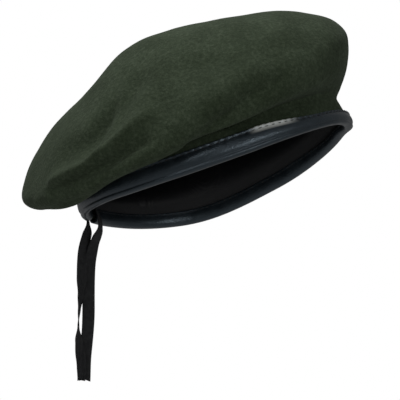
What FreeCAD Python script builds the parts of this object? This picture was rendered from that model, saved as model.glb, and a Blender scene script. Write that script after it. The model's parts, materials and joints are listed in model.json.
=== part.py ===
# A military-style beret: felted wool crown, leather binding with a draw tape, satin lining.
# Millimetres. The hat is drawn square to its own head opening and then leaned back as a whole.
# Hat axes: X to the front, Y to the wearer's left, Z out through the top, origin at the middle
# of the head opening, level with the binding's lowest fold at the front and the back.
import FreeCAD
import Part
import Sketcher
import math
import os

os.makedirs("parts", exist_ok=True)
doc = FreeCAD.newDocument("Beret")
Vec = FreeCAD.Vector

# ---------------------------------------------------------------- driving sizes
sheet = doc.addObject("Spreadsheet::Sheet", "Sizes")
driving = {
    # the head opening and how the hat sits
    "leanBack": 17.7,            # degrees, front raised
    "openingHalfLength": 97.5,   # inner face of the binding, front to back
    "openingHalfWidth": 79.0,    # inner face of the binding, side to side
    "eggShape": 0.13,            # how much wider the opening is behind than in front
    "sideDip": 13.0,             # how far the opening's edge dips at the sides
    # what the band is made of, from the head outwards
    "leatherThickness": 1.0,
    "satinThickness": 0.6,
    "woolThickness": 2.3,
    "tapeThickness": 0.8,
    "tapeWidth": 9.5,
    "layerGap": 0.3,
    # heights above the binding's lowest fold
    "outerLeafHeight": 15.0,
    "rollHeight": 3.0,           # the round of the binding's lower fold
    "innerLeafHeight": 10.5,
    "woolEdgeHeight": 3.5,
    "tapeLow": 3.4,
    "tapeOpening": 1.5,          # how much wider than the tape the gap at the back is
    # the wool crown
    "creaseHeight": 23.0,        # where the collar turns outwards
    "creaseInset": 2.9,
    "creaseDip": 12.0,
    "discHalfLength": 131.0,
    "discHalfWidth": 107.0,
    "lipHeight": 42.5,           # middle of the disc's widest ring
    "lipBack": 12.0,             # the widest ring's middle, behind the opening's middle
    "lipRight": 4.0,             # and to the wearer's right
    "lipPitch": 5.0,             # degrees, front raised
    "lipRoll": 18.5,             # degrees, wearer's left raised
    "crownHeight": 105.0,
    "apexBack": 3.0,
    "apexLeft": 4.0,
    "liningDepth": 2.3,          # satin's outer face, inside the wool's inner face
    # the stiffener behind the badge place
    "boardTurn": 38.0,           # degrees from the front towards the wearer's left
    "boardWidth": 62.0,
    "boardThickness": 1.2,
    "boardGap": 0.7,             # between the wool and the board
    # the label
    "labelLength": 38.0,
    "labelWidth": 22.0,
    "labelThickness": 0.4,
    # thread
    "stitchLength": 3.0,
    "stitchThickness": 0.5,
    "stitchSink": 0.1,
    "outerStitches": 112,
    "innerStitches": 112,
    "seamStitches": 72,
    "stitchRowDrop": 1.6,        # from a leaf's edge down to its stitches
}
for row, (alias, value) in enumerate(driving.items(), start=1):
    sheet.set("A%d" % row, alias)
    sheet.set("B%d" % row, str(value))
    sheet.setAlias("B%d" % row, alias)
doc.recompute()


def size(alias):
    """One driving size, read back from the sheet."""
    return float(sheet.get(alias))


# ---------------------------------------------------------------- worked-out sizes
# Radial places in the band, measured outwards from the binding's inner face.
leather = size("leatherThickness")
gap = size("layerGap")
satinAt = leather + gap
woolAt = satinAt + size("satinThickness") + gap
woolEnd = woolAt + size("woolThickness")
tapeAt = woolEnd + gap
outerLeafAt = tapeAt + size("tapeThickness") + gap
bindingEnd = outerLeafAt + leather
endGap = size("tapeWidth") + size("tapeOpening")      # between the binding's two ends, at the back
satinDepth = size("woolThickness") + size("liningDepth")     # satin's outer face, under the crown's skin

RING_POINTS = 24
leanPlacement = FreeCAD.Placement(Vec(0, 0, 0), FreeCAD.Rotation(Vec(0, 1, 0), -size("leanBack")))


def ovalPoint(outwards, angle, level=0.0, dip=0.0):
    """A point on the egg-shaped oval, this far outside the binding's inner face."""
    halfLength = size("openingHalfLength") + outwards
    halfWidth = size("openingHalfWidth") + outwards
    across = math.sin(angle)
    along = math.cos(angle)
    egg = 1.0 - size("eggShape") * along
    return Vec(halfLength * along, halfWidth * across * egg, level - dip * across * across)


def ringAngles():
    return [2.0 * math.pi * step / RING_POINTS for step in range(RING_POINTS)]


def closedWire(points):
    curve = Part.BSplineCurve()
    curve.interpolate(Points=points, PeriodicFlag=True)
    return Part.Wire(curve.toShape())


# ---------------------------------------------------------------- crown rings
def crownRings():
    """The crown's rings from the wool's lower edge to the apex.

    Each ring: middle, half length, half width, pitch, roll, dip at the sides, egg shape.
    """
    collarLength = size("openingHalfLength") + woolEnd
    collarWidth = size("openingHalfWidth") + woolEnd
    egg = size("eggShape")
    dip = size("sideDip")
    outerTop = size("outerLeafHeight")
    creaseLength = collarLength - size("creaseInset")
    creaseWidth = collarWidth - size("creaseInset")
    crease = size("creaseHeight")
    lip = size("lipHeight")
    lipMiddle = Vec(-size("lipBack"), -size("lipRight"), lip)
    apexMiddle = Vec(-size("apexBack"), size("apexLeft"), size("crownHeight"))
    rings = []
    # the collar stands straight inside the binding, then leans in to the crease
    for share in (0.0, 0.35, 0.7, 1.0):
        level = size("woolEdgeHeight") + (outerTop - size("woolEdgeHeight")) * share
        rings.append((Vec(0, 0, level), collarLength, collarWidth, 0, 0, dip, egg))
    creaseMiddle = Vec(0, 0, crease)
    rings.append((creaseMiddle, creaseLength, creaseWidth, 0, 0, size("creaseDip"), egg))
    # underside of the overhang: (share of the way out, share of the way up, share of the tilt)
    for out, up, tilt in ((0.27, 0.13, 0.42), (0.70, 0.38, 0.90)):
        middle = creaseMiddle + (lipMiddle - creaseMiddle) * out
        middle.z = crease + (lip - crease) * up
        rings.append((
            middle,
            creaseLength + (size("discHalfLength") - creaseLength) * out,
            creaseWidth + (size("discHalfWidth") - creaseWidth) * out,
            size("lipPitch") * tilt, size("lipRoll") * tilt,
            size("creaseDip") * (1.0 - tilt), egg * (1.0 - out),
        ))
    # the lip and the top: (reach as a share of the disc, rise as a share of lip to apex, tilt)
    top = ((1.0, 0.0, 1.0), (0.995, 0.22, 0.92), (0.91, 0.50, 0.66),
           (0.74, 0.74, 0.36), (0.51, 0.905, 0.18), (0.26, 0.98, 0.1), (0.03, 1.0, 0.08))
    for reach, rise, tilt in top:
        rings.append((
            lipMiddle + (apexMiddle - lipMiddle) * rise,
            size("discHalfLength") * reach, size("discHalfWidth") * reach,
            size("lipPitch") * tilt, size("lipRoll") * tilt, 0, 0,
        ))
    return rings


def blend(before, first, second, after):
    """The value halfway along a smooth curve through four even steps."""
    return (first + second) * (9.0 / 16.0) - (before + after) * (1.0 / 16.0)


def refinedRings(rings, start):
    """One more ring halfway between each two rings from this one up."""
    refined = list(rings[:start])
    for index in range(start, len(rings) - 1):
        refined.append(rings[index])
        four = [rings[max(index - 1, start)], rings[index], rings[index + 1],
                rings[min(index + 2, len(rings) - 1)]]
        refined.append(tuple(blend(*values) for values in zip(*four)))
    refined.append(rings[-1])
    return refined


CREASE_RING = 4        # places in the refined list
BOARD_TOP_RING = 12    # the stiffener stands from the crease ring up to this one
SEAM_RING = 14         # the ring where the lining's side panel meets its top panel
ROLL_STEPS = 6
RINGS = refinedRings(crownRings(), CREASE_RING)


def ringPoint(index, angle):
    middle, halfLength, halfWidth, pitch, roll, dip, egg = RINGS[index]
    along = math.cos(angle)
    across = math.sin(angle)
    local = Vec(halfLength * along, halfWidth * across * (1.0 - egg * along), -dip * across * across)
    turn = FreeCAD.Rotation(Vec(0, 1, 0), -pitch).multiply(FreeCAD.Rotation(Vec(1, 0, 0), roll))
    return middle + turn.multVec(local)


def skinPoint(index, angle, depth):
    """A point this far under the wool's outer face, along the face's own normal."""
    here = ringPoint(index, angle)
    last = len(RINGS) - 1
    step = math.radians(1.0)
    around = ringPoint(index, angle + step) - ringPoint(index, angle - step)
    if index == last:
        pitch, roll = RINGS[last][3], RINGS[last][4]
        turn = FreeCAD.Rotation(Vec(0, 1, 0), -pitch).multiply(FreeCAD.Rotation(Vec(1, 0, 0), roll))
        return here - turn.multVec(Vec(0, 0, 1)) * depth
    if index < CREASE_RING:
        outward = around.cross(Vec(0, 0, 1))
        outward.z = 0
    else:
        upward = ringPoint(index + 1, angle) - ringPoint(index - 1, angle)
        outward = around.cross(upward)
    outward.normalize()
    return here - outward * depth


def crownWire(index, depths):
    depth = depths[0] if index < CREASE_RING else depths[1]
    return closedWire([skinPoint(index, angle, depth) for angle in ringAngles()])


def sewnSolid(faces):
    """One closed solid from faces that meet edge to edge."""
    shell = Part.Shell(faces)
    shell.sewShape()
    solid = Part.Solid(shell)
    if solid.Volume < 0:
        solid.reverse()
    return solid


def crownShell(outerDepths, innerDepths, first, last):
    """A shell between two depths under the wool's face, from one ring to another.

    Each pair of depths is for the collar and for the crown. The apex ring gets a cap on each skin.
    """
    faces = []
    edges = []
    for depths in (outerDepths, innerDepths):
        wires = [crownWire(index, depths) for index in range(first, last + 1)]
        faces.extend(Part.makeLoft(wires, False, True, False).Faces)
        edges.append((wires[0].Edges[0], wires[-1].Edges[0]))
        if last == len(RINGS) - 1:
            faces.append(Part.Face(wires[-1]))
    faces.append(Part.makeRuledSurface(edges[0][0], edges[1][0]))
    if last < len(RINGS) - 1:
        faces.append(Part.makeRuledSurface(edges[0][1], edges[1][1]))
    return sewnSolid(faces)


def bandStrip(section):
    """A strip round the band, open at the back: its section is a loop of (outwards, level) points."""
    halfGap = endGap / 2
    widest = size("openingHalfWidth") * (1.0 + size("eggShape"))
    start = math.pi + math.asin(halfGap / widest)
    sweep = 2.0 * (math.pi - math.asin(halfGap / widest))
    curves = []
    for outwards, level in section:
        points = []
        for step in range(RING_POINTS + 1):
            angle = start + sweep * step / RING_POINTS
            points.append(ovalPoint(outwards, angle, level, size("sideDip")))
        curve = Part.BSplineCurve()
        curve.interpolate(Points=points)
        curves.append(curve.toShape())
    faces = []
    for index in range(len(curves)):
        faces.append(Part.makeRuledSurface(curves[index], curves[(index + 1) % len(curves)]))
    for end in (0, -1):
        corners = [curve.Vertexes[end].Point for curve in curves]
        faces.append(Part.Face(Part.makePolygon(corners + [corners[0]])))
    return sewnSolid(faces)


def originPlane(body, role):
    for feature in body.Origin.OriginFeatures:
        if feature.Role == role:
            return feature
    raise ValueError(role)


finished = []


def featureFrom(name, label, shape):
    made = doc.addObject("Part::Feature", name)
    made.Shape = shape
    made.Label = label
    made.Placement = leanPlacement
    finished.append(made)
    return made


# ---------------------------------------------------------------- wool crown
woolDepth = size("woolThickness")
apexRing = len(RINGS) - 1
featureFrom("wool", "wool_crown", crownShell((0.0, 0.0), (woolDepth, woolDepth), 0, apexRing))

# ---------------------------------------------------------------- satin lining, two panels
satinCollar = woolEnd - satinAt - size("satinThickness")
satinInside = satinDepth + size("satinThickness")
satinOutsides = (satinCollar, satinDepth)
satinInsides = (satinCollar + size("satinThickness"), satinInside)
featureFrom("satin_side", "lining_side_panel", crownShell(satinOutsides, satinInsides, 0, SEAM_RING))
featureFrom("satin_top", "lining_top_panel", crownShell(satinOutsides, satinInsides, SEAM_RING, apexRing))

# ---------------------------------------------------------------- badge stiffener
def boardRows(depth):
    """The board's face at one depth: a curve across its width on each ring it crosses."""
    halfSpan = math.asin(size("boardWidth") / 2 / size("openingHalfLength"))
    turn = math.radians(size("boardTurn"))
    rows = []
    for index in range(CREASE_RING, BOARD_TOP_RING + 1):
        curve = Part.BSplineCurve()
        curve.interpolate(Points=[skinPoint(index, turn + halfSpan * share / 4.0, depth)
                                  for share in range(-4, 5)])
        rows.append(curve.toShape())
    return rows


def straightEdge(curves, end):
    """The line from one curve's end to the next curve's same end."""
    ends = [curve.Vertexes[end].Point for curve in curves]
    return Part.LineSegment(ends[0], ends[1]).toShape()


def boardSolid():
    outside = woolDepth + size("boardGap")
    outer = boardRows(outside)
    inner = boardRows(outside + size("boardThickness"))
    faces = [Part.makeRuledSurface(outer[0], inner[0]), Part.makeRuledSurface(outer[-1], inner[-1])]
    for index in range(len(outer) - 1):
        outerPair = outer[index:index + 2]
        innerPair = inner[index:index + 2]
        faces.append(Part.makeRuledSurface(*outerPair))
        faces.append(Part.makeRuledSurface(*innerPair))
        for end in (0, -1):
            faces.append(Part.makeRuledSurface(straightEdge(outerPair, end), straightEdge(innerPair, end)))
    return sewnSolid(faces)


featureFrom("board", "badge_stiffener", boardSolid())

# ---------------------------------------------------------------- leather binding
def bindingSection():
    """A folded U: outer leaf, rolled lower edge, inner leaf, and the channel between the leaves."""
    outerTop = size("outerLeafHeight")
    innerTop = size("innerLeafHeight")
    rollOut = bindingEnd / 2
    rollUp = size("rollHeight")
    section = [(outerLeafAt, outerTop), (bindingEnd, outerTop)]
    for step in range(ROLL_STEPS + 1):
        turn = math.pi * step / ROLL_STEPS
        section.append((rollOut + rollOut * math.cos(turn), rollUp - rollUp * math.sin(turn)))
    section.extend([(0.0, innerTop), (leather, innerTop)])
    channelHalf = (outerLeafAt - leather) / 2
    channelMiddle = (outerLeafAt + leather) / 2
    channelUp = rollUp - leather
    for step in range(ROLL_STEPS + 1):
        turn = math.pi * step / ROLL_STEPS
        section.append((channelMiddle - channelHalf * math.cos(turn), rollUp - channelUp * math.sin(turn)))
    return section


featureFrom("binding", "leather_binding", bandStrip(bindingSection()))

# ---------------------------------------------------------------- draw tape inside the casing
tapeEnd = tapeAt + size("tapeThickness")
tapeTop = size("tapeLow") + size("tapeWidth")
tapeSection = [(tapeAt, size("tapeLow")), (tapeEnd, size("tapeLow")), (tapeEnd, tapeTop), (tapeAt, tapeTop)]
featureFrom("tape_run", "draw_tape", bandStrip(tapeSection))


# ---------------------------------------------------------------- thread
def stitch(place, alongWay, outWay):
    """One stitch: a short flat bar lying on a face, sunk a little into it."""
    length = size("stitchLength")
    thick = size("stitchThickness")
    forward = Vec(alongWay).normalize()
    upward = outWay.cross(forward).normalize()
    outward = forward.cross(upward).normalize()
    turn = FreeCAD.Rotation(forward, upward, outward, "XYZ")
    corner = place - forward * (length / 2) - upward * (thick / 2) - outward * size("stitchSink")
    bar = Part.makeBox(length, thick, thick)
    bar.Placement = FreeCAD.Placement(corner, turn)
    return bar


def bandStitches(count, outwards, outSign, level):
    """Stitches along the band on one leaf's face, none across the gap at the back."""
    bars = []
    small = math.radians(0.5)
    for number in range(int(count)):
        angle = 2.0 * math.pi * (number + 0.5) / count
        place = ovalPoint(outwards, angle, level, size("sideDip"))
        if place.x < 0 and abs(place.y) < endGap / 2 + size("stitchLength"):
            continue
        ahead = ovalPoint(outwards, angle + small, level, size("sideDip"))
        behind = ovalPoint(outwards, angle - small, level, size("sideDip"))
        along = ahead - behind
        out = along.cross(Vec(0, 0, 1)) * outSign
        bars.append(stitch(place, along, out))
    return Part.makeCompound(bars)


outerRow = bandStitches(size("outerStitches"), bindingEnd, 1,
                        size("outerLeafHeight") - size("stitchRowDrop"))
featureFrom("outer_thread", "binding_outer_stitching", outerRow)
innerRow = bandStitches(size("innerStitches"), 0.0, -1,
                        size("innerLeafHeight") - size("stitchRowDrop"))
featureFrom("inner_thread", "binding_inner_stitching", innerRow)

seamBars = []
seamDepth = satinDepth + size("satinThickness")
for number in range(int(size("seamStitches"))):
    angle = 2.0 * math.pi * number / size("seamStitches")
    small = math.radians(0.5)
    along = skinPoint(SEAM_RING, angle + small, seamDepth) - skinPoint(SEAM_RING, angle - small, seamDepth)
    inward = skinPoint(SEAM_RING, angle, seamDepth + 1.0) - skinPoint(SEAM_RING, angle, seamDepth)
    seamBars.append(stitch(skinPoint(SEAM_RING, angle, seamDepth), along, inward))
featureFrom("seam_thread", "lining_seam_stitching", Part.makeCompound(seamBars))

# ---------------------------------------------------------------- label
labelBody = doc.addObject("PartDesign::Body", "label_body")
labelSketch = labelBody.newObject("Sketcher::SketchObject", "label_outline")
labelSketch.AttachmentSupport = [(originPlane(labelBody, "XY_Plane"), "")]
labelSketch.MapMode = "FlatFace"
halfLong = size("labelLength") / 2
halfWide = size("labelWidth") / 2
corners = [Vec(-halfLong, -halfWide, 0), Vec(halfLong, -halfWide, 0),
           Vec(halfLong, halfWide, 0), Vec(-halfLong, halfWide, 0)]
for number in range(4):
    labelSketch.addGeometry(Part.LineSegment(corners[number], corners[(number + 1) % 4]))
for number in range(4):
    labelSketch.addConstraint(Sketcher.Constraint("Coincident", number, 2, (number + 1) % 4, 1))
labelSketch.addConstraint(Sketcher.Constraint("Horizontal", 0))
labelSketch.addConstraint(Sketcher.Constraint("Horizontal", 2))
labelSketch.addConstraint(Sketcher.Constraint("Vertical", 1))
labelSketch.addConstraint(Sketcher.Constraint("Vertical", 3))
labelSketch.addConstraint(Sketcher.Constraint("Symmetric", 0, 1, 2, 1, -1, 1))
for alias, first, second, kind in (("labelLength", 1, 2, "DistanceX"), ("labelWidth", 1, 2, "DistanceY")):
    line = 0 if kind == "DistanceX" else 1
    index = labelSketch.addConstraint(Sketcher.Constraint(kind, line, first, line, second, size(alias)))
    labelSketch.renameConstraint(index, alias)
    labelSketch.setExpression("Constraints." + alias, "Sizes.%s * 1 mm" % alias)
labelPad = labelBody.newObject("PartDesign::Pad", "label_pad")
labelPad.Profile = labelSketch
labelPad.setExpression("Length", "Sizes.labelThickness * 1 mm")
LABEL_DROP = 1.6      # flat label under a slightly domed lining
apex = skinPoint(len(RINGS) - 1, 0.0, satinDepth + size("satinThickness"))
labelPlace = Vec(-size("apexBack"), size("apexLeft"), apex.z - LABEL_DROP)
labelBody.Label = "size_label"
labelBody.Placement = leanPlacement.multiply(FreeCAD.Placement(labelPlace, FreeCAD.Rotation()))
finished.append(labelBody)

# ---------------------------------------------------------------- hanging tape tails
# These hang straight down, so their routes are in the leaned frame, +Z against gravity.
# The left tail leaves outside the wool's cut edge and the right one inside it.
TAIL_LEVEL = 8.1      # height on the band where both routes start from
LEFT_DRAWN_AT = Vec(-100.68, 0, -23.63)     # the places on the band that the routes were drawn for
RIGHT_DRAWN_AT = Vec(-97.44, 0, -22.59)
leftRoute = [Vec(-101.8, 0, -19.8), Vec(-97.7, 0, -32.7), Vec(-101.4, -1.5, -46), Vec(-102.3, -3, -63),
             Vec(-101.9, -3.5, -82), Vec(-104.6, -3, -101), Vec(-105.3, -1.5, -119), Vec(-103.0, -0.5, -133),
             Vec(-103.3, 0.5, -146.3)]
rightRoute = [Vec(-94.5, 0, -21.7), Vec(-91.0, 0, -32.8), Vec(-96.2, 1.5, -46), Vec(-98.6, 2.5, -62),
              Vec(-99.2, 3, -82), Vec(-98.7, 2, -104), Vec(-99.8, 0.5, -125), Vec(-100.1, -0.5, -146.6)]


def movedRoute(route, drawnAt, outwards):
    """The route, moved along with the place on the band where the tail leaves."""
    place = leanPlacement.multVec(Vec(-size("openingHalfLength") - outwards, 0, TAIL_LEVEL))
    return [point + place - drawnAt for point in route]


def tapePath(route):
    """Straight runs joined by tangent arcs."""
    edges = []
    radii = []
    start = route[0]
    for index in range(1, len(route) - 1):
        before, corner, after = route[index - 1], route[index], route[index + 1]
        backward = before - corner
        forward = after - corner
        shorter = min(backward.Length, forward.Length)
        backward.normalize()
        forward.normalize()
        turn = math.pi - backward.getAngle(forward)
        setback = 0.45 * shorter
        radius = setback / math.tan(turn / 2)
        radii.append(radius)
        arcStart = corner + backward * setback
        arcEnd = corner + forward * setback
        toCentre = (backward + forward).normalize()
        centre = corner + toCentre * (radius / math.cos(turn / 2))
        arcMiddle = centre - toCentre * radius
        edges.append(Part.LineSegment(start, arcStart).toShape())
        edges.append(Part.Arc(arcStart, arcMiddle, arcEnd).toShape())
        start = arcEnd
    edges.append(Part.LineSegment(start, route[-1]).toShape())
    return Part.Wire(edges), radii


def tapeTail(name, route):
    """A flat tape along its route, its width kept across the hat."""
    path, radii = tapePath(route)
    width = size("tapeWidth")
    thick = size("tapeThickness")
    way = (route[1] - route[0]).normalize()
    across = Vec(0, 1, 0)
    through = way.cross(across).normalize()
    corners = [route[0] + across * (width / 2 * a) + through * (thick / 2 * b)
               for a, b in ((1, 1), (-1, 1), (-1, -1), (1, -1), (1, 1))]
    pipe = Part.BRepOffsetAPI.MakePipeShell(path)
    pipe.setBiNormalMode(across)
    pipe.setTransitionMode(1)
    pipe.add(Part.makePolygon(corners))
    pipe.build()
    pipe.makeSolid()
    solid = pipe.shape()
    print("%s: length %.1f, radii %s, volume %.0f of %.0f" % (
        name, path.Length, " ".join("%.0f" % radius for radius in radii),
        abs(solid.Volume), width * thick * path.Length))
    made = doc.addObject("Part::Feature", name)
    made.Shape = solid
    made.Label = name
    finished.append(made)


tapeTail("tape_tail_left", movedRoute(leftRoute, LEFT_DRAWN_AT, tapeEnd))
tapeTail("tape_tail_right", movedRoute(rightRoute, RIGHT_DRAWN_AT, woolAt))
doc.recompute()

# ---------------------------------------------------------------- checks and export
for item in doc.Objects:
    if "Invalid" in item.State or "Error" in item.State:
        raise RuntimeError("%s did not build: %s" % (item.Label, item.State))
for item in finished:
    if item.Shape.isNull() or not item.Shape.isValid():
        raise RuntimeError("%s has no valid shape" % item.Label)
    box = item.Shape.optimalBoundingBox()
    print("%-24s %3d solids %9.1f mm3  x %.1f..%.1f  y %.1f..%.1f  z %.1f..%.1f" % (
        item.Label, len(item.Shape.Solids), item.Shape.Volume,
        box.XMin, box.XMax, box.YMin, box.YMax, box.ZMin, box.ZMax))
    item.Shape.exportStep("parts/%s.step" % item.Label)
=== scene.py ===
import bmesh
import bpy
import math
from mathutils import Matrix, Vector, noise
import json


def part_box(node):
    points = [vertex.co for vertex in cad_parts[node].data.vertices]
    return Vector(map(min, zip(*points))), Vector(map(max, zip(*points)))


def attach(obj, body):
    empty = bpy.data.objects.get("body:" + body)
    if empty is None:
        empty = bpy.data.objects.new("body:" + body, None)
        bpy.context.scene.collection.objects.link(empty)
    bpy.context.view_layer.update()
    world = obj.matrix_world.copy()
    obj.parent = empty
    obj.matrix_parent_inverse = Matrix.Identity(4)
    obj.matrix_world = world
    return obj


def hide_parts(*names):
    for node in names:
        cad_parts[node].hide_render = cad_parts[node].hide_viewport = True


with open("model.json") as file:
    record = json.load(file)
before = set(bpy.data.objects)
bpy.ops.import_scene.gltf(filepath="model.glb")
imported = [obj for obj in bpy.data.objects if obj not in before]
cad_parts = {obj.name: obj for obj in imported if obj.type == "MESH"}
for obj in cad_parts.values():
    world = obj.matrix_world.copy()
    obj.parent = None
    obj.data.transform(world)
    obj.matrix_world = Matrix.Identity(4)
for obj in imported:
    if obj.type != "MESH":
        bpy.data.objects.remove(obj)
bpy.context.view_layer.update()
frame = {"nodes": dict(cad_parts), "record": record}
nodes = frame["nodes"]
mounts = {mount["name"]: mount for mount in frame["record"]["mounts"]}
downWay = Vector(mounts["head_opening"]["axis"])
hatTurn = Matrix.Rotation(-math.atan2(downWay.x, -downWay.z), 4, "Y")


def hatPoints(node):  # a CAD node's points, square to the head opening
    back = hatTurn.inverted()
    return [back @ vertex.co for vertex in nodes[node].data.vertices]


bandReach = max(point.x for point in hatPoints("leather_binding"))
bandSpan = max(point.y for point in hatPoints("leather_binding"))
crownTop = max(point.z for point in hatPoints("wool_crown"))
print("frame: band reach %.1f mm, span %.1f mm, crown %.1f mm" % (
    bandReach * 1000, bandSpan * 1000, crownTop * 1000))

# measures that the band's pieces share, outwards from the binding's inner face
band = {
    "stack": 0.0069,        # inner face to outer face
    "woolEnd": 0.0045,      # the wool's outer face
    "woolEdge": 0.0040,     # height of the wool's cut edge
    "eggShape": 0.13,
    "sideDip": 0.013,
    "tapeGap": 0.0110,
    "pinchIn": 0.0058,
    "pinchUp": 0.0036,
    "frontLess": 0.34,
}
eggWidest = max(math.sin(math.radians(a)) * (1 - band["eggShape"] * math.cos(math.radians(a)))
                for a in range(60, 150))
openingLength = bandReach - band["stack"]
openingWidth = bandSpan / eggWidest - band["stack"]


def smoothStep(value):
    value = min(max(value, 0), 1)
    return value * value * (3 - 2 * value)


def pinch(angle):  # the band is drawn in and up over the wearer's left eye
    turn = math.degrees(angle) % 360
    share = smoothStep((turn - 3) / 26) * smoothStep((122 - turn) / 46) if turn < 130 else 0
    return Vector((0, -band["pinchIn"], band["pinchUp"])) * share


def leafShare(angle):  # the folded strip is narrower over the forehead
    turn = abs((math.degrees(angle) + 180) % 360 - 180)
    return 1 - band["frontLess"] * smoothStep((64 - turn) / 34)


def bandPoint(outwards, level, angle):
    across = math.sin(angle)
    egg = 1 - band["eggShape"] * math.cos(angle)
    return pinch(angle) + Vector(((openingLength + outwards) * math.cos(angle),
                                  (openingWidth + outwards) * across * egg,
                                  level * leafShare(angle) - band["sideDip"] * across * across))


# the crown is a row of rings, from the wool's cut edge to the apex
crown = {
    "creaseHeight": 0.023,
    "creaseInset": 0.0029,
    "creaseDip": 0.012,
    "discLength": 0.131,
    "discWidth": 0.107,
    "lip": Vector((-0.012, -0.004, 0.0425)),
    "lipPitch": 5.0,
    "lipRoll": 18.5,
    "apex": Vector((-0.003, 0.004, crownTop)),
    "woolThickness": 0.0023,
    "waves": [(28, 0.0011), (75, 0.00035)],  # how close together, how high
    "segments": 288,
    "ringsPerSpan": 9,
}


def crownRings():
    collarLength = openingLength + band["woolEnd"]
    collarWidth = openingWidth + band["woolEnd"]
    creaseLength = collarLength - crown["creaseInset"]
    creaseWidth = collarWidth - crown["creaseInset"]
    crease = Vector((0, 0, crown["creaseHeight"]))
    rings = []
    for level in (band["woolEdge"], 0.0065, 0.009):
        rings.append((Vector((0, 0, level)), collarLength, collarWidth, 0, 0,
                      band["sideDip"], band["eggShape"]))
    rings.append((crease, creaseLength, creaseWidth, 0, 0, crown["creaseDip"], band["eggShape"]))
    for out, up, tilt in ((0.27, 0.13, 0.42), (0.70, 0.38, 0.90)):  # underside of the overhang
        middle = crease.lerp(crown["lip"], out)
        middle.z = crease.z + (crown["lip"].z - crease.z) * up
        rings.append((middle, creaseLength + (crown["discLength"] - creaseLength) * out,
                      creaseWidth + (crown["discWidth"] - creaseWidth) * out,
                      crown["lipPitch"] * tilt, crown["lipRoll"] * tilt,
                      crown["creaseDip"] * (1 - tilt), band["eggShape"] * (1 - out)))
    for reach, rise, tilt in ((1.0, 0.0, 1.0), (0.995, 0.22, 0.92), (0.91, 0.50, 0.66), (0.74, 0.74, 0.36),
                              (0.51, 0.905, 0.18), (0.26, 0.98, 0.1), (0.03, 1.0, 0.08)):
        rings.append((crown["lip"].lerp(crown["apex"], rise), crown["discLength"] * reach,
                      crown["discWidth"] * reach, crown["lipPitch"] * tilt, crown["lipRoll"] * tilt, 0, 0))
    return rings


rings = crownRings()
creaseRing = 3
seamRing = 8  # the lining's two panels meet here


def smoothValue(a, b, c, d, t):
    return b + 0.5 * t * (c - a + t * (2 * a - 5 * b + 4 * c - d + t * (3 * (b - c) + d - a)))


def ringAt(place):  # ring sizes anywhere between two of the rings
    index = min(int(place), len(rings) - 2)
    last = len(rings) - 1
    four = [rings[max(index - 1, 0)], rings[index], rings[index + 1], rings[min(index + 2, last)]]
    if index <= creaseRing - 1:  # the collar stays straight
        return tuple(b + (c - b) * (place - index) for b, c in zip(four[1], four[2]))
    return tuple(smoothValue(*values, place - index) for values in zip(*four))


def ringPoint(place, angle):
    middle, length, width, pitch, roll, dip, egg = ringAt(place)
    along = math.cos(angle)
    across = math.sin(angle)
    local = Vector((length * along, width * across * (1 - egg * along), -dip * across * across))
    tilt = Matrix.Rotation(math.radians(-pitch), 3, "Y") @ Matrix.Rotation(math.radians(roll), 3, "X")
    return middle + tilt @ local + pinch(angle) * smoothStep((6.5 - place) / 3.5)


def outwardAt(place, angle):
    low = max(place - 0.1, 0)
    high = min(place + 0.1, len(rings) - 1)
    around = ringPoint(place, angle + 0.02) - ringPoint(place, angle - 0.02)
    outward = around.cross(ringPoint(high, angle) - ringPoint(low, angle))
    return outward.normalized() if outward.length > 1e-12 else Vector((0, 0, 1))


# what hands and wear have pressed into the felt: (ring, degrees) places, half width, height
folds = [
    ([(6.6, 226), (6.5, 243), (6.8, 253), (7.3, 266)], 0.0056, 0.0070),   # upper soft ridge
    ([(7.4, 234), (7.3, 245), (7.7, 253), (8.2, 264)], 0.0105, -0.0066),
    ([(6.1, 224), (6.05, 240), (6.25, 252), (6.4, 264)], 0.0050, -0.0066),
    ([(5.7, 210), (5.6, 235), (5.7, 247), (5.7, 260), (5.7, 272)], 0.0050, 0.0042),   # edge of the overhang
    ([(4.8, 276), (5.6, 288), (6.1, 300), (6.2, 312)], 0.0060, -0.0062),  # overhang turning into the front
    ([(6.8, 278), (7.0, 292), (7.1, 304)], 0.0110, 0.0030),
    ([(3.1, 304), (3.15, 323), (3.15, 358)], 0.0024, 0.0012),               # line pressed over the collar
    ([(6.9, 248), (7.4, 254), (8.2, 258)], 0.0050, 0.0034),
    ([(8.1, 280), (7.8, 294)], 0.0090, -0.0026),
    ([(7.4, 156), (7.0, 128), (7.4, 104)], 0.0100, -0.0030),
    ([(6.5, 156), (6.2, 128), (6.4, 96)], 0.0080, 0.0026),
]
swells = [  # ring, degrees, reach, height
    (9.2, 224, 0.060, -0.0098),
    (7.3, 210, 0.036, -0.0032),
    (6.2, 198, 0.034, 0.0018),
    (10.3, 250, 0.038, 0.0078),
    (8.9, 335, 0.034, 0.0016),
    (6.5, 352, 0.024, 0.0012),
    (8.2, 118, 0.045, -0.0045),
]
sag = {"ring": 4.0, "rings": 0.85, "angle": 221, "angles": 23, "drop": 0.0135, "outwards": 0.0048}
foldLines = [([ringPoint(place, math.radians(angle)) for place, angle in line], width, height)
             for line, width, height in folds]
swellPoints = [(ringPoint(place, math.radians(angle)), reach, height)
               for place, angle, reach, height in swells]


def foldHeight(point):
    total = 0.0
    for line, width, height in foldLines:
        best = 9.0
        along = 0.0
        for number, (start, end) in enumerate(zip(line, line[1:])):
            way = end - start
            share = min(max((point - start).dot(way) / way.length_squared, 0), 1)
            reach = (point - start - way * share).length / width
            if reach < best:
                best = reach
                along = (number + share) / (len(line) - 1)
        if best < 3:
            total += height * math.exp(-best * best) * (0.2 + 0.8 * math.sin(math.pi * (0.1 + 0.8 * along)))
    for middle, reach, height in swellPoints:
        total += height * math.exp(-((point - middle).length / reach) ** 2)
    return total


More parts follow.
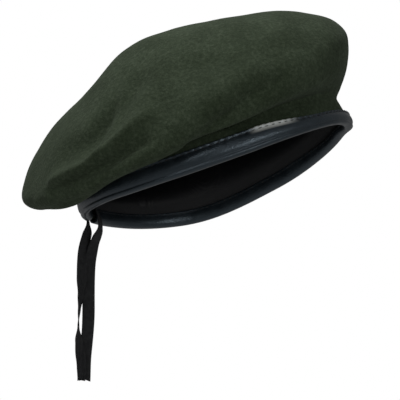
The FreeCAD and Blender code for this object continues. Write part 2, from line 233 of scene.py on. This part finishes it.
def sagMove(place, angle):
    away = (math.degrees(angle) % 360 - sag["angle"]) / sag["angles"]
    share = math.exp(-away * away - ((place - sag["ring"]) / sag["rings"]) ** 2)
    share *= min(max((place - creaseRing) / 0.5, 0), 1)
    return Vector((math.cos(angle) * sag["outwards"], math.sin(angle) * sag["outwards"], -sag["drop"])) * share


def newObject(name, mesh, material, body="hat"):
    made = bpy.data.objects.new(name, mesh)
    bpy.context.scene.collection.objects.link(made)
    mesh.materials.append(material)
    for face in mesh.polygons:
        face.use_smooth = True
    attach(made, body)
    return made


def finishMesh(bm, name, turned=True):
    if turned:
        bmesh.ops.transform(bm, matrix=hatTurn, verts=bm.verts)
    mesh = bpy.data.meshes.new(name)
    bm.to_mesh(mesh)
    bm.free()
    return mesh


def ringSurface(name, places, segments, shapePoint, closed):
    # one circle, extruded from ring to ring; every point keeps its angle in a layer
    bm = bmesh.new()
    turns = bm.verts.layers.float.new("around")
    bmesh.ops.create_circle(bm, segments=segments, radius=1)
    for vertex in bm.verts:
        vertex[turns] = math.atan2(vertex.co.y, vertex.co.x)
    edges = list(bm.edges)
    for number, place in enumerate(places):
        if number:
            grown = bmesh.ops.extrude_edge_only(bm, edges=edges)["geom"]
            edges = [item for item in grown if isinstance(item, bmesh.types.BMEdge)]
            ring = [item for item in grown if isinstance(item, bmesh.types.BMVert)]
        else:
            ring = list(bm.verts)
        for vertex in ring:
            vertex.co = shapePoint(place, vertex[turns])
    if closed:
        middle = sum((vertex.co for vertex in ring), Vector()) / len(ring)
        bmesh.ops.pointmerge(bm, verts=ring, merge_co=middle)
    bmesh.ops.recalc_face_normals(bm, faces=bm.faces)
    return finishMesh(bm, name)


def spread(first, last, perSpan):
    count = int(round((last - first) * perSpan))
    return [first + (last - first) * step / count for step in range(count + 1)]


def shaderMaterial(name, baseColor, roughness, **sockets):
    material = bpy.data.materials.new(name)
    material.use_nodes = True
    shader = material.node_tree.nodes["Principled BSDF"]
    shader.inputs["Base Color"].default_value = (*baseColor, 1)
    shader.inputs["Roughness"].default_value = roughness
    for socket, value in sockets.items():
        shader.inputs[socket.replace("_", " ")].default_value = value
    return material, material.node_tree, shader


def addNoise(tree, scale, detail):
    place = tree.nodes.new("ShaderNodeTexCoord")
    texture = tree.nodes.new("ShaderNodeTexNoise")
    texture.inputs["Scale"].default_value = scale
    texture.inputs["Detail"].default_value = detail
    tree.links.new(place.outputs["Object"], texture.inputs["Vector"])
    return texture


def addRamp(tree, texture, stops):
    ramp = tree.nodes.new("ShaderNodeValToRGB")
    ramp.color_ramp.elements[0].position = stops[0][0]
    ramp.color_ramp.elements[0].color = (*stops[0][1], 1)
    ramp.color_ramp.elements[1].position = stops[-1][0]
    ramp.color_ramp.elements[1].color = (*stops[-1][1], 1)
    for position, color in stops[1:-1]:
        ramp.color_ramp.elements.new(position).color = (*color, 1)
    tree.links.new(texture.outputs[0], ramp.inputs["Fac"])
    return ramp


def addBump(tree, shader, textures, distance):
    normal = None
    for texture, share in textures:
        bump = tree.nodes.new("ShaderNodeBump")
        bump.inputs["Strength"].default_value = 1.0
        bump.inputs["Distance"].default_value = distance * share
        tree.links.new(texture.outputs[0], bump.inputs["Height"])
        if normal:
            tree.links.new(normal, bump.inputs["Normal"])
        normal = bump.outputs["Normal"]
    tree.links.new(normal, shader.inputs["Normal"])


mixSockets = {"first": 6, "second": 7, "result": 2}  # the color sockets of a mix node


def mixColors(tree, first, second, share, blend="MIX"):
    mix = tree.nodes.new("ShaderNodeMix")
    mix.data_type = "RGBA"
    mix.blend_type = blend
    mix.inputs["Factor"].default_value = share
    tree.links.new(first, mix.inputs[mixSockets["first"]])
    tree.links.new(second, mix.inputs[mixSockets["second"]])
    return mix.outputs[mixSockets["result"]]


felt = {
    "dark": (0.0140, 0.0205, 0.0112),
    "middle": (0.0255, 0.0362, 0.0203),
    "light": (0.0485, 0.0625, 0.0405),
    "roughness": 0.95,
    "nap": 1400,                        # fine fibres, per metre
    "napStops": (0.30, 0.50, 0.72),     # where the dark, middle and light tones stand
    "tuft": 420,
    "tuftStops": (0.33, 0.52, 0.70),
    "cloud": 45,                        # soft mottling
    "cloudTones": [(0.35, (0.82, 0.84, 0.80)), (0.65, (1.15, 1.14, 1.16))],
    "relief": 0.0007,
}


def makeFelt():
    material, tree, shader = shaderMaterial("wool_felt", felt["middle"], felt["roughness"],
                                            Sheen_Weight=0.05, Sheen_Roughness=0.5,
                                            Sheen_Tint=(0.62, 0.72, 0.58, 1), Specular_IOR_Level=0.10)
    nap = addNoise(tree, felt["nap"], 4)
    tuft = addNoise(tree, felt["tuft"], 5)
    cloud = addNoise(tree, felt["cloud"], 3)
    tones = (felt["dark"], felt["middle"], felt["light"])
    fibres = addRamp(tree, nap, list(zip(felt["napStops"], tones)))
    tufts = addRamp(tree, tuft, list(zip(felt["tuftStops"], tones)))
    clouds = addRamp(tree, cloud, felt["cloudTones"])
    both = mixColors(tree, fibres.outputs["Color"], tufts.outputs["Color"], 0.5)
    mottled = mixColors(tree, both, clouds.outputs["Color"], 1.0, "MULTIPLY")
    tree.links.new(mottled, shader.inputs["Base Color"])
    addBump(tree, shader, [(tuft, 1.0), (nap, 0.5)], felt["relief"])
    return material


leather = {
    "color": (0.0075, 0.0098, 0.0118),
    "roughness": 0.40,
    "tones": [(0.3, (0.0060, 0.0086, 0.0108)), (0.7, (0.0100, 0.0136, 0.0164))],
    "shines": [(0.3, (0.30,) * 3), (0.7, (0.42,) * 3)],
    "glintTone": (0.42, 0.43, 0.41),  # painted highlight: the pale glint of a lamp along the upper edge
    "grain": 900,
    "wear": 160,
    "relief": 0.00012,
}


def makeLeather():
    material, tree, shader = shaderMaterial("black_leather", leather["color"], leather["roughness"],
                                            Specular_IOR_Level=0.55, Specular_Tint=(0.72, 0.88, 1.0, 1))
    grain = tree.nodes.new("ShaderNodeTexVoronoi")
    grain.inputs["Scale"].default_value = leather["grain"]
    place = tree.nodes.new("ShaderNodeTexCoord")
    tree.links.new(place.outputs["Object"], grain.inputs["Vector"])
    wear = addNoise(tree, leather["wear"], 4)
    shine = addRamp(tree, wear, leather["shines"])
    tree.links.new(shine.outputs["Color"], shader.inputs["Roughness"])
    tone = addRamp(tree, wear, leather["tones"])
    # painted highlight: a pale tone mixed into the base colour where the glint share is high
    paintedGlint = tree.nodes.new("ShaderNodeAttribute")
    paintedGlint.attribute_name = "glintShare"
    glintTone = tree.nodes.new("ShaderNodeMix")
    glintTone.data_type = "RGBA"
    glintTone.inputs[mixSockets["second"]].default_value = (*leather["glintTone"], 1)
    tree.links.new(paintedGlint.outputs["Fac"], glintTone.inputs["Factor"])
    tree.links.new(tone.outputs["Color"], glintTone.inputs[mixSockets["first"]])
    tree.links.new(glintTone.outputs[mixSockets["result"]], shader.inputs["Base Color"])
    addBump(tree, shader, [(grain, 1.0), (wear, 2.0)], leather["relief"])
    return material


cloths = {  # what the weave follows, dark and light tone, roughness, threads, relief, gloss
    "black_satin": ("Object", (0.0018, 0.0022, 0.0028), (0.0036, 0.0041, 0.0050), 0.45, 900, 0.00006, 0.25),
    "black_tape": ("UV", (0.0150, 0.0156, 0.0165), (0.0270, 0.0276, 0.0290), 0.75, 700, 0.00010, 0.20),
    "black_thread": ("Object", (0.010, 0.010, 0.011), (0.020, 0.020, 0.021), 0.6, 1500, 0.00010, 0.5),
    "buckram": ("Object", (0.30, 0.28, 0.23), (0.42, 0.40, 0.34), 0.9, 500, 0.00020, 0.5),
    "label_cloth": ("Object", (0.42, 0.41, 0.37), (0.58, 0.57, 0.53), 0.7, 900, 0.00008, 0.5),
}


def makeCloth(name):  # a plain weave: two crossed bands, with a little uneven tone
    follows, dark, light, roughness, threads, relief, gloss = cloths[name]
    material, tree, shader = shaderMaterial(name, light, roughness, Specular_IOR_Level=gloss)
    place = tree.nodes.new("ShaderNodeTexCoord")
    waves = []
    for way in ("X", "Y"):
        wave = tree.nodes.new("ShaderNodeTexWave")
        wave.wave_type = "BANDS"
        wave.bands_direction = way
        wave.inputs["Scale"].default_value = threads
        wave.inputs["Distortion"].default_value = 0.6
        tree.links.new(place.outputs[follows], wave.inputs["Vector"])
        waves.append(wave)
    patch = addNoise(tree, 300, 3)
    tone = addRamp(tree, patch, [(0.3, dark), (0.7, light)])
    tree.links.new(tone.outputs["Color"], shader.inputs["Base Color"])
    addBump(tree, shader, [(waves[0], 1.0), (waves[1], 1.0), (patch, 1.5)], relief)
    return material


woolFelt = makeFelt()
blackLeather = makeLeather()
blackSatin = makeCloth("black_satin")
blackTape = makeCloth("black_tape")
blackThread = makeCloth("black_thread")
buckram = makeCloth("buckram")
labelCloth = makeCloth("label_cloth")
print("materials made")


def woolPoint(place, angle):
    point = ringPoint(place, angle)
    outward = outwardAt(place, angle)
    above = min(max((place - creaseRing) / 1.5, 0), 1)  # the collar stays as the binding holds it
    unevenness = sum(noise.noise(point * closeness) * height for closeness, height in crown["waves"])
    return point + outward * (foldHeight(point) + unevenness) * above + sagMove(place, angle)


woolMesh = ringSurface("wool_body", spread(0, len(rings) - 1, crown["ringsPerSpan"]), crown["segments"],
                       woolPoint, True)
woolBody = newObject("wool_body", woolMesh, woolFelt)
thick = woolBody.modifiers.new("thickness", "SOLIDIFY")
thick.thickness = crown["woolThickness"]
thick.offset = -1
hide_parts("wool_crown")
print("wool crown shaped")

lining = {
    "collarDepth": 0.0027,
    "crownDepth": 0.0048,
    "pleats": 34,
    "pleat": 0.0012,
    "slack": 0.0022,
    "stitches": 150,
    "thickness": 0.0005,
    "segments": 204,
}


def liningPoint(place, angle):
    depth = lining["collarDepth"] if place < creaseRing - 0.5 else lining["crownDepth"]
    loose = min(max((place - creaseRing) / 2, 0), 1)
    point = woolPoint(place, angle)
    pleats = (0.5 + 0.5 * math.sin(angle * lining["pleats"] + 3 * noise.noise(point * 30))) * lining["pleat"]
    slack = (0.5 + 0.5 * noise.noise(point * 45)) * lining["slack"]
    nearApex = min((len(rings) - 1 - place) / 3, 1)
    return point - outwardAt(place, angle) * (depth + loose * (pleats * nearApex + slack))


for name, first, last in (("lining_side", 0.2, seamRing), ("lining_top", seamRing, len(rings) - 1)):
    mesh = ringSurface(name, spread(first, last, 3), lining["segments"], liningPoint, last > seamRing)
    panel = newObject(name, mesh, blackSatin)
    cloth = panel.modifiers.new("thickness", "SOLIDIFY")
    cloth.thickness = lining["thickness"]
    cloth.offset = -1
    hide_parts(name + "_panel")
print("lining hung")


def sweepSection(name, corners, places, turned):  # one section carried along a row of places
    bm = bmesh.new()
    order = bm.verts.layers.int.new("corner")
    uvLayer = bm.loops.layers.uv.new("along")
    bmesh.ops.create_circle(bm, segments=corners, radius=1, cap_ends=True)
    bm.verts.ensure_lookup_table()
    for number, vertex in enumerate(bm.verts):
        vertex[order] = number
        vertex.co = places[0](number)
    face = bm.faces[:][0]
    steps = bm.verts.layers.int.new("step")
    for step, place in enumerate(places[1:], start=1):
        grown = bmesh.ops.extrude_face_region(bm, geom=[face])["geom"]
        if step > 1:
            bmesh.ops.delete(bm, geom=[face], context="FACES_ONLY")
        for item in grown:
            if isinstance(item, bmesh.types.BMVert):
                item.co = place(item[order])
                item[steps] = step
        face = [item for item in grown if isinstance(item, bmesh.types.BMFace)][0]
    for item in bm.faces:
        for loop in item.loops:
            loop[uvLayer].uv = (loop.vert[order] / corners, loop.vert[steps] / len(places))
    bmesh.ops.recalc_face_normals(bm, faces=bm.faces)
    return finishMesh(bm, name, turned)


# leather binding: a folded strip, outwards and level of each corner of its section, in millimetres
binding = {
    "section": [(5.7, 14.4), (5.9, 15.0), (6.4, 15.2), (6.85, 14.9), (6.8, 14.2), (6.35, 13.5), (6.5, 12.7),
                (7.0, 11.6), (7.35, 10.2), (7.55, 8.8), (7.6, 7.2), (7.4, 5.7), (6.95, 4.5), (6.45, 3.7),
                (6.25, 3.3), (6.4, 2.9), (6.65, 2.4), (6.5, 1.6), (6.0, 0.8), (5.1, 0.2), (3.8, -0.1), (2.4, 0.1),
                (1.2, 0.8), (0.3, 2.0), (-0.2, 3.8), (-0.3, 5.8), (-0.15, 7.8), (0.15, 9.0), (0.0, 9.7),
                (0.1, 10.4), (0.6, 10.7), (1.05, 10.2), (1.1, 8.5), (1.1, 4.5), (1.6, 2.4), (2.6, 1.3),
                (3.8, 1.1), (5.0, 1.7), (5.7, 3.2), (5.85, 6.0), (5.8, 11.0)],
    "steps": 620,
    "stitches": 126,
    "pucker": 0.00030,
    "waviness": 0.00035,
    "edge": {"level": 0.0142, "reach": 0.0016, "outwards": 0.0045},   # drawn in by each stitch
    "swell": {"level": 0.0085, "reach": 0.004, "outwards": 0.006},    # the padded outer face
    # where the painted highlight lies along the upper edge
    "paintedGlint": {"from": 294, "fadeIn": 5, "to": 318, "fadeOut": 10,    # degrees round, then millimetres
               "level": 10.6, "blend": 1.6, "outwards": 5.8},
}
gapAngle = math.asin(band["tapeGap"] / 2 / (openingWidth * (1 + band["eggShape"])))


def nearLevel(zone, outwards, level):
    return math.exp(-((level - zone["level"]) / zone["reach"]) ** 2) if outwards > zone["outwards"] else 0


def bindingPoint(corner, angle):
    outwards, level = (value / 1000 for value in binding["section"][corner])
    edge = nearLevel(binding["edge"], outwards, level)
    swell = nearLevel(binding["swell"], outwards, level)
    beat = math.sin(angle * binding["stitches"]) * binding["pucker"] * edge
    drift = noise.noise(Vector((math.cos(angle) * 3, math.sin(angle) * 3, level * 60)))
    grow = beat + drift * binding["waviness"] * (0.4 + swell)
    return bandPoint(outwards + grow, level + drift * 0.0003 + beat * 0.6, angle)


def bindingPlace(angle):
    return lambda corner: bindingPoint(corner, angle)


startAngle = math.pi + gapAngle
sweepAngle = 2 * (math.pi - gapAngle)
bindingAngles = [startAngle + sweepAngle * step / binding["steps"] for step in range(binding["steps"] + 1)]
bindingPlaces = [bindingPlace(angle) for angle in bindingAngles]
bindingMesh = sweepSection("leather_edge", len(binding["section"]), bindingPlaces, True)
leatherEdge = newObject("leather_edge", bindingMesh, blackLeather)
glintShare = bindingMesh.attributes.new("glintShare", "FLOAT", "POINT")  # painted highlight: a pale glint along the upper edge
paintedGlint = binding["paintedGlint"]
for vertex in range(len(bindingMesh.vertices)):
    turn = math.degrees(bindingAngles[bindingMesh.attributes["step"].data[vertex].value]) % 360
    outwards, level = binding["section"][bindingMesh.attributes["corner"].data[vertex].value]
    share = smoothStep((turn - paintedGlint["from"]) / paintedGlint["fadeIn"])
    share *= smoothStep((paintedGlint["to"] - turn) / paintedGlint["fadeOut"])
    share *= smoothStep((level - paintedGlint["level"]) / paintedGlint["blend"])
    glintShare.data[vertex].value = share if outwards > paintedGlint["outwards"] else 0
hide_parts("leather_binding")
print("leather folded over the edge")

# stitches: short rounded threads, each lying in the groove it pulls
thread = {"radius": 0.00030, "length": 0.0027}


def addStitch(bm, middle, along, outward):
    forward = along.normalized()
    upward = outward.cross(forward).normalized()
    outward = forward.cross(upward)
    turn = Matrix((forward, upward, outward)).transposed().to_4x4()
    size = Matrix.Diagonal((thread["length"] / 2, thread["radius"], thread["radius"], 1))
    bmesh.ops.create_uvsphere(bm, u_segments=8, v_segments=6, radius=1,
                              matrix=Matrix.Translation(middle) @ turn @ size)


def stitchRow(name, node, outwards, level, side):
    bm = bmesh.new()
    for number in range(binding["stitches"]):
        angle = (2 * math.pi * number - math.pi / 2) / binding["stitches"]
        middle = bandPoint(outwards, level, angle)
        if middle.x < 0 and abs(middle.y) < band["tapeGap"] / 2 + thread["length"]:
            continue
        along = bandPoint(outwards, level, angle + 0.01) - bandPoint(outwards, level, angle - 0.01)
        addStitch(bm, middle, along, along.cross(Vector((0, 0, 1))) * side)
    row = newObject(name, finishMesh(bm, name), blackThread)
    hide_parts(node)


stitchRows = {  # the row's node, outwards, level, which way it faces
    "outer_stitches": ("binding_outer_stitching", 0.00645, 0.0134, 1),
    "inner_stitches": ("binding_inner_stitching", 0.00005, 0.0091, -1),
}
for name, row in stitchRows.items():
    stitchRow(name, *row)
seam = bmesh.new()
for number in range(lining["stitches"]):
    angle = 2 * math.pi * number / lining["stitches"]
    along = liningPoint(seamRing, angle + 0.01) - liningPoint(seamRing, angle - 0.01)
    seamAt = liningPoint(seamRing, angle) - outwardAt(seamRing, angle) * lining["thickness"]
    addStitch(seam, seamAt, along, -outwardAt(seamRing, angle))
liningSeam = newObject("lining_stitches", finishMesh(seam, "lining_stitches"), blackThread)
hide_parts("lining_seam_stitching")
print("seams sewn")

# label, a small blank woven patch that hangs a little from the lining
labelLow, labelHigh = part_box("size_label")
label = {"length": 0.038, "width": 0.022, "thickness": 0.0004, "curl": 0.0012}
patch = bmesh.new()
bmesh.ops.create_grid(patch, x_segments=20, y_segments=12, size=0.5)
for vertex in patch.verts:
    curl = (vertex.co.x * 2) ** 2 * label["curl"]
    vertex.co = Vector((vertex.co.x * label["length"], vertex.co.y * label["width"], -curl))
bmesh.ops.translate(patch, verts=patch.verts, vec=hatTurn.inverted() @ ((labelLow + labelHigh) / 2))
sizeLabel = newObject("label_patch", finishMesh(patch, "label_patch"), labelCloth)
labelThick = sizeLabel.modifiers.new("thickness", "SOLIDIFY")
labelThick.thickness = label["thickness"]
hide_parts("size_label")

# draw tape run inside the fold, open at the back like the leather
tapeRun = {"low": 0.0036, "high": 0.0128, "inner": 0.0047, "outer": 0.0054, "steps": 240}
tapeCorners = [(tapeRun["inner"], tapeRun["low"]), (tapeRun["outer"], tapeRun["low"]),
               (tapeRun["outer"], tapeRun["high"]), (tapeRun["inner"], tapeRun["high"])]


def tapePlace(angle):
    return lambda corner: bandPoint(*tapeCorners[corner], angle)


tapeAngles = [startAngle + sweepAngle * step / tapeRun["steps"] for step in range(tapeRun["steps"] + 1)]
tapePlaces = [tapePlace(angle) for angle in tapeAngles]
drawTape = newObject("tape_run", sweepSection("tape_run", len(tapeCorners), tapePlaces, True), blackTape)
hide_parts("draw_tape")

# stiffener between the wool and the lining, behind the badge place
board = {"low": 3.15, "high": 7.6, "turn": 38, "halfTurn": 17.5, "depth": 0.0032, "thickness": 0.0010,
         "cornerCut": 0.35, "cutFrom": 0.3}
boardMesh = bmesh.new()
bmesh.ops.create_grid(boardMesh, x_segments=24, y_segments=30, size=0.5)
for vertex in boardMesh.verts:
    corner = abs(vertex.co.x * 2) ** 6 * board["cornerCut"] if vertex.co.y > board["cutFrom"] else 0
    place = board["low"] + (board["high"] - board["low"] - corner) * (vertex.co.y + 0.5)
    angle = math.radians(board["turn"] + vertex.co.x * 2 * board["halfTurn"])
    vertex.co = woolPoint(place, angle) - outwardAt(place, angle) * board["depth"]
bmesh.ops.recalc_face_normals(boardMesh, faces=boardMesh.faces)
stiffener = newObject("badge_board", finishMesh(boardMesh, "badge_board"), buckram)
boardThick = stiffener.modifiers.new("thickness", "SOLIDIFY")
boardThick.thickness = board["thickness"]
boardThick.offset = 0
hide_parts("badge_stiffener")

# tape tails: width and twist along a smooth hanging line
tape = {"width": 0.0095, "thickness": 0.0007, "cup": 0.0004, "endSlant": 0.0012, "corners": 14,
        "samples": 150, "exitSample": 14}
tailRoutes = {
    "left": [(-101.8, 0, -19.8), (-97.7, 0, -32.7), (-101.4, -1.5, -46), (-102.3, -3, -63),
             (-101.9, -3.5, -82), (-104.6, -3, -101), (-105.3, -1.5, -119), (-103.0, -0.5, -133),
             (-103.3, 0.5, -146.3)],
    "right": [(-93.0, 0, -21.7), (-87.5, 0, -33.0), (-94.6, 1.5, -46), (-98.4, 2.5, -62),
              (-99.2, 3, -82), (-98.7, 2, -104), (-99.8, 0.5, -125), (-100.1, -0.5, -146.6)],
}
tailTwists = {  # share of the length, and degrees from facing the front quarter
    "left": [(0, 100), (0.09, 82), (0.17, 48), (0.28, 34), (0.42, 40), (0.52, 66), (0.60, 84), (0.70, 100),
             (0.78, 128), (0.86, 144), (0.93, 138), (1, 130)],
    "right": [(0, 82), (0.10, 74), (0.18, 50), (0.28, 34), (0.42, 24), (0.60, 18), (0.75, 26), (0.88, 36),
              (1, 30)],
}
facing = math.radians(15)
faceWay = Vector((math.cos(facing), math.sin(facing), 0))
edgeWay = Vector((-math.sin(facing), math.cos(facing), 0))


def smoothLine(name, route):  # points read from the route's own curve
    curve = bpy.data.curves.new(name, "CURVE")
    curve.dimensions = "3D"
    curve.resolution_u = 24
    spline = curve.splines.new("NURBS")
    spline.points.add(len(route) - 1)
    for point, place in zip(spline.points, route):
        point.co = (*(value / 1000 for value in place), 1)
    spline.order_u = 3
    spline.use_endpoint_u = True
    holder = bpy.data.objects.new(name, curve)
    mesh = bpy.data.meshes.new_from_object(holder)
    points = [vertex.co.copy() for vertex in mesh.vertices]
    bpy.data.objects.remove(holder)
    bpy.data.curves.remove(curve)
    bpy.data.meshes.remove(mesh)
    return points


def evenPoints(points, count):
    lengths = [0.0]
    for before, after in zip(points, points[1:]):
        lengths.append(lengths[-1] + (after - before).length)
    even = []
    index = 0
    for step in range(count + 1):
        target = lengths[-1] * step / count
        while index < len(points) - 2 and lengths[index + 1] < target:
            index += 1
        span = lengths[index + 1] - lengths[index]
        even.append(points[index].lerp(points[index + 1], (target - lengths[index]) / span))
    return even, lengths[-1]


def twistAt(twists, share):
    for (before, first), (after, second) in zip(twists, twists[1:]):
        if share <= after:
            mid = (share - before) / (after - before)
            return math.radians(first + (second - first) * mid * mid * (3 - 2 * mid))
    return math.radians(twists[-1][1])


def tailPlace(points, step, side):
    here = points[step]
    way = (points[min(step + 1, len(points) - 1)] - points[max(step - 1, 0)]).normalized()
    share = step / (len(points) - 1)
    angle = twistAt(tailTwists[side], share)
    across = faceWay * math.cos(angle) + edgeWay * math.sin(angle)
    across = (across - way * across.dot(way)).normalized()
    through = way.cross(across).normalized()
    cup = tape["cup"] * math.sin(share * 9 + (0 if side == "left" else 2))

    def corner(number):
        turn = 2 * math.pi * (number + 0.5) / tape["corners"]
        x = math.cos(turn)
        flat = math.copysign(abs(x) ** 0.6, x)
        y = math.copysign(min(abs(math.sin(turn)) * 2.2, 1), math.sin(turn))
        slant = way * (tape["endSlant"] * flat * flat if step == len(points) - 1 else 0)
        return (here + across * (flat * tape["width"] / 2) + slant
                + through * (y * tape["thickness"] / 2 + cup * flat * flat))
    return corner


for side, route in tailRoutes.items():
    points, length = evenPoints(smoothLine("tail_line_" + side, route), tape["samples"])
    places = [tailPlace(points, step, side) for step in range(len(points))]
    tail = newObject("tape_" + side, sweepSection("tape_" + side, tape["corners"], places, False), blackTape,
                     side + "_tail")
    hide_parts("tape_tail_" + side)
    print("tape tail %s: %.1f mm" % (side, length * 1000))

# stage: pale floor and backdrop, soft light, camera a little below the brim
stage = {"floorLevel": -1.3, "floorSize": 80.0, "white": (0.90, 0.90, 0.90), "ambient": 0.27}
ground = bmesh.new()
bmesh.ops.create_grid(ground, x_segments=1, y_segments=1, size=stage["floorSize"] / 2)
bmesh.ops.translate(ground, verts=ground.verts, vec=(0, 0, stage["floorLevel"]))
floorMesh = finishMesh(ground, "floor", False)
floor = bpy.data.objects.new("floor", floorMesh)
bpy.context.scene.collection.objects.link(floor)
floorPaint, floorTree, floorShader = shaderMaterial("pale_floor", stage["white"], 0.9)
floorMesh.materials.append(floorPaint)

world = bpy.data.worlds.new("soft_white")  # white behind the hat, softer as a light
world.use_nodes = True
sky = world.node_tree.nodes["Background"]
sky.inputs["Color"].default_value = (1, 1, 1, 1)
seen = world.node_tree.nodes.new("ShaderNodeLightPath")
strength = world.node_tree.nodes.new("ShaderNodeMapRange")
strength.inputs["To Min"].default_value = stage["ambient"]
strength.inputs["To Max"].default_value = 1.0
world.node_tree.links.new(seen.outputs["Is Camera Ray"], strength.inputs["Value"])
world.node_tree.links.new(strength.outputs["Result"], sky.inputs["Strength"])
bpy.context.scene.world = world


panels = {  # place, size, watts
    "overhead": ((-0.25, -0.2, 1.15), (0.6, 0.4), 12),
    "front": ((-0.3, -1.25, 0.6), (0.5, 0.3), 3.6),
    "right": ((1.0, -1.1, 0.05), (0.5, 0.5), 4.6),
}


def addPanel(name, place, size, power):  # turned to face the hat
    light = bpy.data.lights.new(name, "AREA")
    light.shape = "RECTANGLE"
    light.size = size[0]
    light.size_y = size[1]
    light.energy = power
    holder = bpy.data.objects.new(name, light)
    holder.location = place
    holder.rotation_euler = (-Vector(place)).to_track_quat("-Z", "Y").to_euler()
    bpy.context.scene.collection.objects.link(holder)


for name, panel in panels.items():
    addPanel(name, *panel)

camera = {"azimuth": 15.0, "elevation": -9.0, "distance": 1.2, "width": 0.2904, "sensor": 36,
          "aimSide": -0.013068, "aimUp": -0.01815}
turnAngle = math.radians(camera["azimuth"])
riseAngle = math.radians(camera["elevation"])
backWay = Vector((math.sin(turnAngle) * math.cos(riseAngle), -math.cos(turnAngle) * math.cos(riseAngle),
                  math.sin(riseAngle)))
rightWay = Vector((math.cos(turnAngle), math.sin(turnAngle), 0))
upWay = backWay.cross(rightWay)
aim = rightWay * camera["aimSide"] + upWay * camera["aimUp"]
lens = bpy.data.cameras.new("camera")
lens.sensor_width = camera["sensor"]
lens.lens = camera["sensor"] * camera["distance"] / camera["width"]
eye = bpy.data.objects.new("camera", lens)
eye.location = aim + backWay * camera["distance"]
eye.rotation_euler = Matrix((rightWay, upWay, backWay)).transposed().to_euler()
bpy.context.scene.collection.objects.link(eye)
bpy.context.scene.camera = eye
bpy.context.scene.view_settings.view_transform = "Standard"
